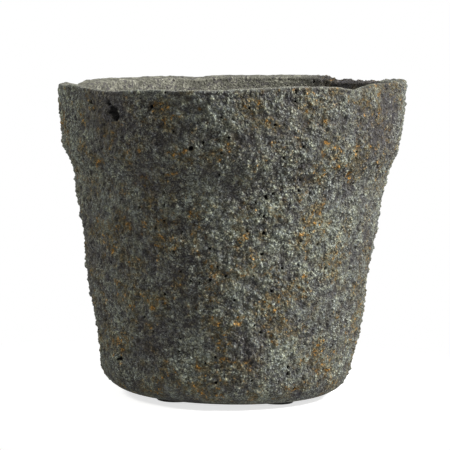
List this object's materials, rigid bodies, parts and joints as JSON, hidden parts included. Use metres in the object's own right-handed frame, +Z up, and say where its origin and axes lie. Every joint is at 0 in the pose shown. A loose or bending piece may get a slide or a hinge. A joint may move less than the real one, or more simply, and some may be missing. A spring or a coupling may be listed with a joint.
{
  "type": "flower pot",
  "caption": "Round tapered stoneware flower pot with a heavy collar, an uneven lip, a rough crusted wall, a drain hole with a lift-out rubber stopper, and felt pads under the foot.",
  "frame": {"origin": "on the table, under the middle of the foot", "axes": "+Z up along the pot's axis, -Y towards the front of the picture, +X to its right"},
  "size_m": [0.2203, 0.2186, 0.2022],
  "materials": {
    "stoneware": "coarse unglazed crust, dark grey with grey-green dust and rust flecks",
    "rubber": "matt moulded rubber",
    "felt": "pressed wool felt"
  },
  "bodies": {
    "pot": {"pot_shell": "stoneware", "foot_pad_1": "felt", "foot_pad_2": "felt", "foot_pad_3": "felt", "foot_pad_4": "felt"},
    "stopper": {"drain_stopper": "rubber"}
  },
  "joints": [
    {"name": "stopper_lift", "type": "slide", "parent": "pot", "child": "stopper", "axis": [0, 0, 1], "range_m": [0, 0.205]}
  ]
}
